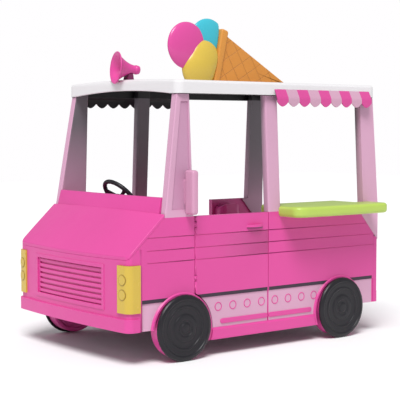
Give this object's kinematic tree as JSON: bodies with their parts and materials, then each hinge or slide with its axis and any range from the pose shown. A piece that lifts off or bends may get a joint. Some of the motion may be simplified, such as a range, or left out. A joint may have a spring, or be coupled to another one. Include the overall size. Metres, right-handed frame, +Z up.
{
  "type": "child's play food truck",
  "caption": "Van-shaped play food truck in moulded plastic with open windows, serving counter, scalloped awnings, hinged door, rolling wheels and an ice-cream sign.",
  "frame": {"origin": "on the floor, at the middle of the toy's bounding box in plan", "axes": "+X towards the toy's left side (counter side), +Y towards its rear, +Z up"},
  "size_m": [1.054, 1.455, 1.459],
  "materials": {
    "white_shell": "smooth moulded, satin gloss",
    "pale_pink": "smooth moulded, satin gloss",
    "pink_body": "smooth moulded, satin gloss",
    "yellow_lamp": "smooth moulded, gloss",
    "yellow_scoop": "smooth moulded, gloss",
    "blue_scoop": "smooth moulded, gloss",
    "orange_cone": "moulded waffle grooves, satin",
    "green_counter": "smooth moulded, satin gloss",
    "black_plastic": "fine moulded grain",
    "axle_steel": "drawn bar"
  },
  "bodies": {
    "truck": {"a_pillars": "pale_pink", "awning_dark_stripes": "pink_body", "awning_pale_stripes": "pale_pink", "axle_blocks": "pink_body", "b_pillars": "pale_pink", "cone": "orange_cone", "counter": "green_counter", "cowl": "pink_body", "floor_pan": "pink_body", "floor_ribs": "pink_body", "front_axle": "axle_steel", "front_panel": "pink_body", "grille": "pink_body", "headlamps": "yellow_lamp", "hood": "pink_body", "horn": "pink_body", "horn_foot": "pink_body", "left_front_wall": "pink_body", "left_rear_wall": "pink_body", "mirrors": "pale_pink", "rear_axle": "axle_steel", "rear_pillars": "pale_pink", "rear_wall": "pink_body", "right_front_wall": "pink_body", "right_rear_wall": "pink_body", "roof": "white_shell", "scoop_blue": "blue_scoop", "scoop_pink": "pink_body", "scoop_yellow": "yellow_scoop", "sills": "pink_body", "steering_column": "black_plastic", "storage_pocket": "pink_body", "wheel_wells": "pink_body"},
    "left_door": {"left_door": "pink_body", "door_handle": "pink_body"},
    "steering_wheel": {"steering_wheel": "black_plastic"},
    "front_left_wheel": {"front_left_wheel_disc": "black_plastic", "front_left_wheel_drum": "pink_body"},
    "front_right_wheel": {"front_right_wheel_disc": "black_plastic", "front_right_wheel_drum": "pink_body"},
    "rear_left_wheel": {"rear_left_wheel_disc": "black_plastic", "rear_left_wheel_drum": "pink_body"},
    "rear_right_wheel": {"rear_right_wheel_disc": "black_plastic", "rear_right_wheel_drum": "pink_body"}
  },
  "joints": [
    {"name": "front_left_wheel_spin", "type": "hinge", "parent": "truck", "child": "front_left_wheel", "pos_m": [0.361, -0.4332, 0.138], "axis": [1, 0, 0], "continuous": true},
    {"name": "front_right_wheel_spin", "type": "hinge", "parent": "truck", "child": "front_right_wheel", "pos_m": [-0.439, -0.4332, 0.138], "axis": [1, 0, 0], "continuous": true},
    {"name": "rear_left_wheel_spin", "type": "hinge", "parent": "truck", "child": "rear_left_wheel", "pos_m": [0.361, 0.4682, 0.138], "axis": [1, 0, 0], "continuous": true},
    {"name": "rear_right_wheel_spin", "type": "hinge", "parent": "truck", "child": "rear_right_wheel", "pos_m": [-0.439, 0.4682, 0.138], "axis": [1, 0, 0], "continuous": true},
    {"name": "left_door_swing", "type": "hinge", "parent": "truck", "child": "left_door", "pos_m": [0.383, -0.3585, 0.448], "axis": [0, 0, -1], "range_deg": [0, 65]},
    {"name": "steering_turn", "type": "hinge", "parent": "truck", "child": "steering_wheel", "pos_m": [-0.149, -0.3675, 0.65], "axis": [0, 0.7547, 0.6561], "continuous": true}
  ]
}
